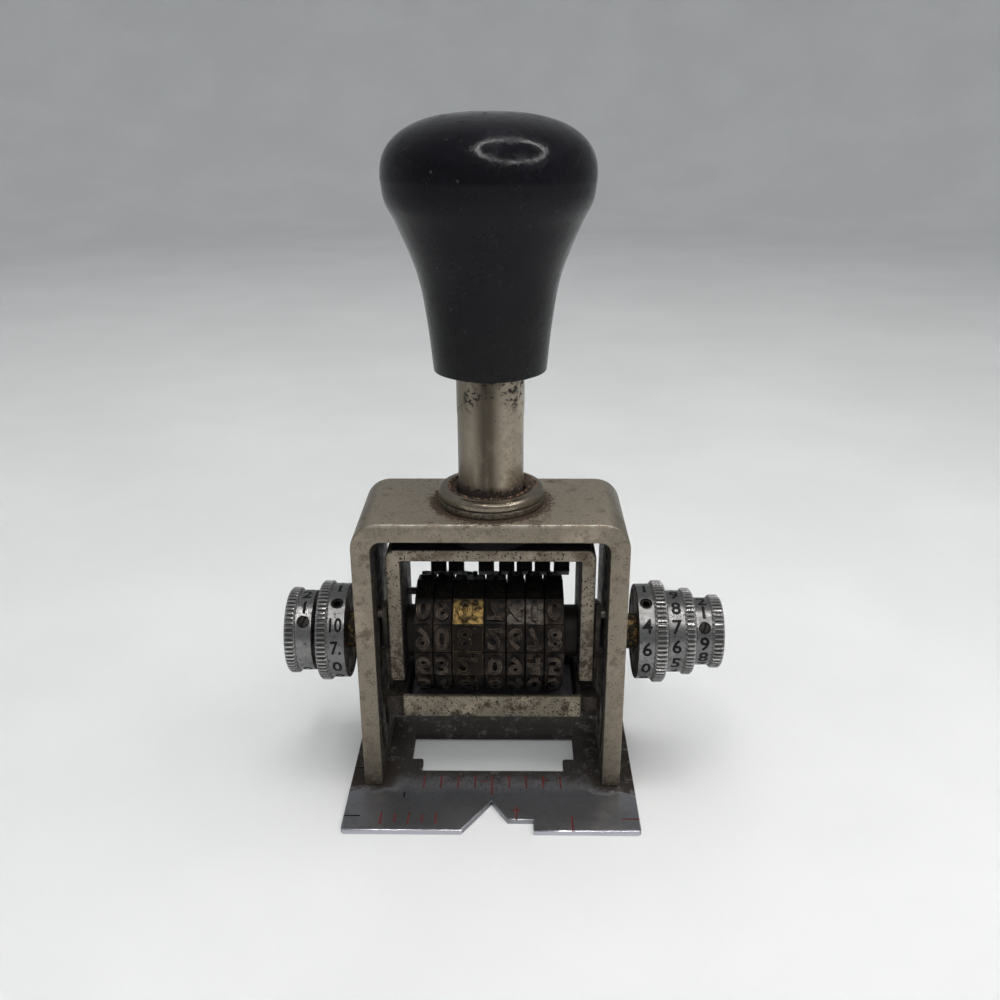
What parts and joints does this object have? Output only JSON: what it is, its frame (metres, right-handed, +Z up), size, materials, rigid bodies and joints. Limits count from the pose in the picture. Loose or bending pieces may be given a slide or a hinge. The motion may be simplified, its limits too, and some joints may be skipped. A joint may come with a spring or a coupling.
{
  "type": "self-inking numbering stamp",
  "caption": "Hand-held self-inking numbering stamp: knob-topped plunger in a metal yoke, dial-set type wheels, swinging ink tray and a notched gauge plate.",
  "frame": {"origin": "middle of the object's footprint, on the surface it stands on; the plunger's axis is at x = -2.5 mm, y = +3.46 mm", "axes": "+Z up along the plunger, +X to the right along the type wheels' axle, -Y towards the front with the gauge marks"},
  "size_m": [0.087, 0.0442, 0.1296],
  "materials": {
    "nickel_plate": "worn nickel plate, satin, dulled and pitted with black specks",
    "gauge_steel": "bare gauge steel, fine scratches, tarnished, marks filled with red paint",
    "dial_metal": "satin chrome, knurled rims, black-filled numbers",
    "dark_steel": "steel blackened with ink and grime, worn bare and pitted on its edges",
    "type_metal": "type metal coated with dried ink",
    "brass": "aged brass with dried ink in the recesses",
    "screw_steel": "darkened steel",
    "spring_steel": "oiled spring steel",
    "bakelite": "black moulded phenolic, polished, with hairline scratches",
    "ink_felt": "ink-soaked felt",
    "buffer_rubber": "matt black rubber"
  },
  "bodies": {
    "stand": {"base_plate": "gauge_steel", "yoke": "nickel_plate", "guide_collar": "nickel_plate", "spring_cross_pin": "screw_steel", "return_spring": "spring_steel", "leg_screw_front_left": "screw_steel", "leg_screw_front_right": "screw_steel", "leg_screw_back_left": "screw_steel", "leg_screw_back_right": "screw_steel"},
    "carriage": {"carriage_frame": "dark_steel", "retaining_peg": "screw_steel", "bearing_bush_left": "brass", "bearing_bush_right": "brass", "plunger_tube": "nickel_plate", "plunger_nut": "screw_steel", "buffer_washer": "buffer_rubber", "spring_plug": "screw_steel", "handle_knob": "bakelite", "detent_bar": "dark_steel", "detent_screw_left": "screw_steel", "detent_screw_right": "screw_steel", "detent_spring_1": "spring_steel", "detent_spring_2": "spring_steel", "detent_spring_3": "spring_steel", "detent_spring_4": "spring_steel", "detent_spring_5": "spring_steel", "detent_spring_6": "spring_steel", "detent_spring_7": "spring_steel"},
    "wheel_1": {"dial_left_inner": "dial_metal", "wheel_tube_left": "brass", "set_screw_left_inner": "screw_steel", "type_wheel_1": "type_metal"},
    "wheel_2": {"dial_left_outer": "dial_metal", "wheel_rod_left": "screw_steel", "set_screw_left_outer": "screw_steel", "type_wheel_2": "type_metal"},
    "wheel_3": {"type_wheel_3": "brass"},
    "wheel_4": {"type_wheel_4": "type_metal"},
    "wheel_5": {"dial_right_outer": "dial_metal", "wheel_rod_right": "screw_steel", "set_screw_right_outer": "screw_steel", "type_wheel_5": "type_metal"},
    "wheel_6": {"dial_right_middle": "dial_metal", "wheel_tube_right_inner": "screw_steel", "set_screw_right_middle": "screw_steel", "type_wheel_6": "type_metal"},
    "wheel_7": {"dial_right_inner": "dial_metal", "wheel_tube_right_outer": "brass", "set_screw_right_inner": "screw_steel", "type_wheel_7": "type_metal"},
    "pad_swing": {"ink_tray": "dark_steel", "ink_pad": "ink_felt", "pad_arm_left": "nickel_plate", "pad_arm_right": "nickel_plate", "cam_pin_left": "screw_steel", "cam_pin_right": "screw_steel", "tray_rivet_left": "brass", "tray_rivet_right": "brass"}
  },
  "joints": [
    {"name": "plunger_press", "type": "slide", "parent": "stand", "child": "carriage", "axis": [0, 0, -1], "range_m": [0, 0.0184], "stiffness_N_per_m": 400, "springref_m": -0.02, "deforming": ["return_spring"]},
    {"name": "pad_swing_hinge", "type": "hinge", "parent": "carriage", "child": "pad_swing", "pos_m": [-0.0025, 0.00346, 0.0305], "axis": [1, 0, 0], "range_deg": [0, 92.05]},
    {"name": "wheel_1_turn", "type": "hinge", "parent": "carriage", "child": "wheel_1", "pos_m": [-0.0025, 0.00346, 0.0305], "axis": [1, 0, 0], "continuous": true},
    {"name": "wheel_2_turn", "type": "hinge", "parent": "carriage", "child": "wheel_2", "pos_m": [-0.0025, 0.00346, 0.0305], "axis": [1, 0, 0], "continuous": true},
    {"name": "wheel_3_turn", "type": "hinge", "parent": "carriage", "child": "wheel_3", "pos_m": [-0.0025, 0.00346, 0.0305], "axis": [1, 0, 0], "continuous": true},
    {"name": "wheel_4_turn", "type": "hinge", "parent": "carriage", "child": "wheel_4", "pos_m": [-0.0025, 0.00346, 0.0305], "axis": [1, 0, 0], "continuous": true},
    {"name": "wheel_5_turn", "type": "hinge", "parent": "carriage", "child": "wheel_5", "pos_m": [-0.0025, 0.00346, 0.0305], "axis": [1, 0, 0], "continuous": true},
    {"name": "wheel_6_turn", "type": "hinge", "parent": "carriage", "child": "wheel_6", "pos_m": [-0.0025, 0.00346, 0.0305], "axis": [1, 0, 0], "continuous": true},
    {"name": "wheel_7_turn", "type": "hinge", "parent": "carriage", "child": "wheel_7", "pos_m": [-0.0025, 0.00346, 0.0305], "axis": [1, 0, 0], "continuous": true}
  ],
  "couplings": [
    {"joint": "pad_swing_hinge", "follows": "plunger_press", "rad_per_m": 87.266}
  ]
}
